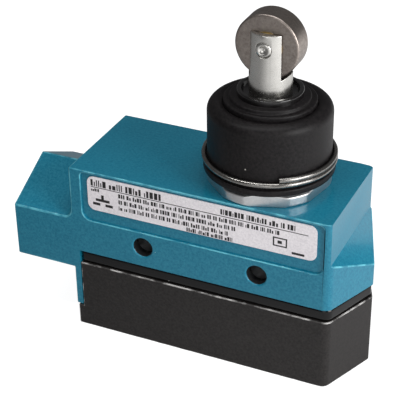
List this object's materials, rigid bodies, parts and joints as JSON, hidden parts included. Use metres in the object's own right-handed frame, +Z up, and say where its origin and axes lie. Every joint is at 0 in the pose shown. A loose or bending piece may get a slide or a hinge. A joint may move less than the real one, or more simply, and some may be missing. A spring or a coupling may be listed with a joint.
{
  "type": "roller plunger limit switch",
  "caption": "Sealed limit switch: a painted housing with a conduit entry and bottom cover, holding a snap-action switch worked by a sprung top roller plunger under a rubber boot.",
  "frame": {"origin": "middle of the cover's underside, halfway along and halfway through the whole switch", "axes": "+X from the conduit hub to the pointed end, +Y from the label face to the back, +Z up towards the roller"},
  "size_m": [0.0764, 0.0274, 0.0752],
  "materials": {
    "housing_paint": "semi-gloss teal baked enamel on a die casting",
    "cover_finish": "matt charcoal, finely textured",
    "gasket_rubber": "smooth glossy black rubber",
    "label_foil": "satin silver foil with black print",
    "zinc_steel": "zinc plated steel",
    "spring_wire": "bright drawn spring wire",
    "bushing_metal": "turned light alloy",
    "plunger_steel": "satin turned stainless steel",
    "roller_steel": "turned hardened steel",
    "boot_rubber": "satin black moulded rubber",
    "phenolic": "brown phenolic moulding",
    "brass_parts": "plain stamped brass",
    "contact_silver": "silver contact rivet",
    "blade_copper": "beryllium copper spring strip",
    "button_plastic": "red moulded plastic",
    "liner_paper": "tan insulating fibre sheet"
  },
  "bodies": {
    "housing": {"housing": "housing_paint", "cover": "cover_finish", "cover_gasket": "gasket_rubber", "cover_screw": "zinc_steel", "insulating_liner": "liner_paper", "nameplate": "label_foil", "mounting_sleeves": "zinc_steel", "switch_case": "phenolic", "switch_base": "phenolic", "case_rivets": "brass_parts", "common_terminal": "brass_parts", "closed_terminal": "brass_parts", "open_terminal": "brass_parts", "fixed_contacts": "contact_silver", "terminal_screws": "brass_parts", "terminal_washers": "zinc_steel", "actuator_bushing": "bushing_metal", "bushing_nut": "zinc_steel", "bushing_seal": "gasket_rubber", "shaft_seal": "gasket_rubber", "spring_seat": "zinc_steel", "return_spring": "spring_wire", "boot": "boot_rubber", "boot_diaphragm": "boot_rubber", "boot_ring": "spring_wire"},
    "plunger": {"plunger": "plunger_steel", "plunger_clip": "zinc_steel", "pusher_retainer": "zinc_steel", "overtravel_spring": "spring_wire", "boot_collar": "boot_rubber", "roller_pin": "plunger_steel"},
    "roller": {"roller": "roller_steel"},
    "pusher": {"pusher": "plunger_steel"},
    "button": {"switch_button": "button_plastic"},
    "blade": {"snap_blade": "blade_copper", "moving_contact": "contact_silver"}
  },
  "joints": [
    {"name": "plunger_slide", "type": "slide", "parent": "housing", "child": "plunger", "axis": [0, 0, -1], "range_m": [0, 0.0055], "stiffness_N_per_m": 1500, "springref_m": -0.004, "deforming": ["return_spring", "boot_diaphragm"]},
    {"name": "roller_spin", "type": "hinge", "parent": "plunger", "child": "roller", "pos_m": [0.01515, 0, 0.0686], "axis": [0, 1, 0], "continuous": true},
    {"name": "pusher_slide", "type": "slide", "parent": "plunger", "child": "pusher", "axis": [0, 0, 1], "range_m": [0, 0.00471], "deforming": ["overtravel_spring"]},
    {"name": "button_press", "type": "slide", "parent": "housing", "child": "button", "axis": [0, 0, -1], "range_m": [0, 0.0008]},
    {"name": "blade_turn", "type": "hinge", "parent": "housing", "child": "blade", "pos_m": [-0.0159, 0, 0.0305], "axis": [0, 1, 0], "range_deg": [0, 1.5]}
  ],
  "couplings": [
    {"joint": "pusher_slide", "follows": "plunger_slide", "ratio": 0.855},
    {"joint": "button_press", "follows": "plunger_slide", "ratio": 0.145},
    {"joint": "blade_turn", "follows": "plunger_slide", "rad_per_m": 4.68}
  ]
}
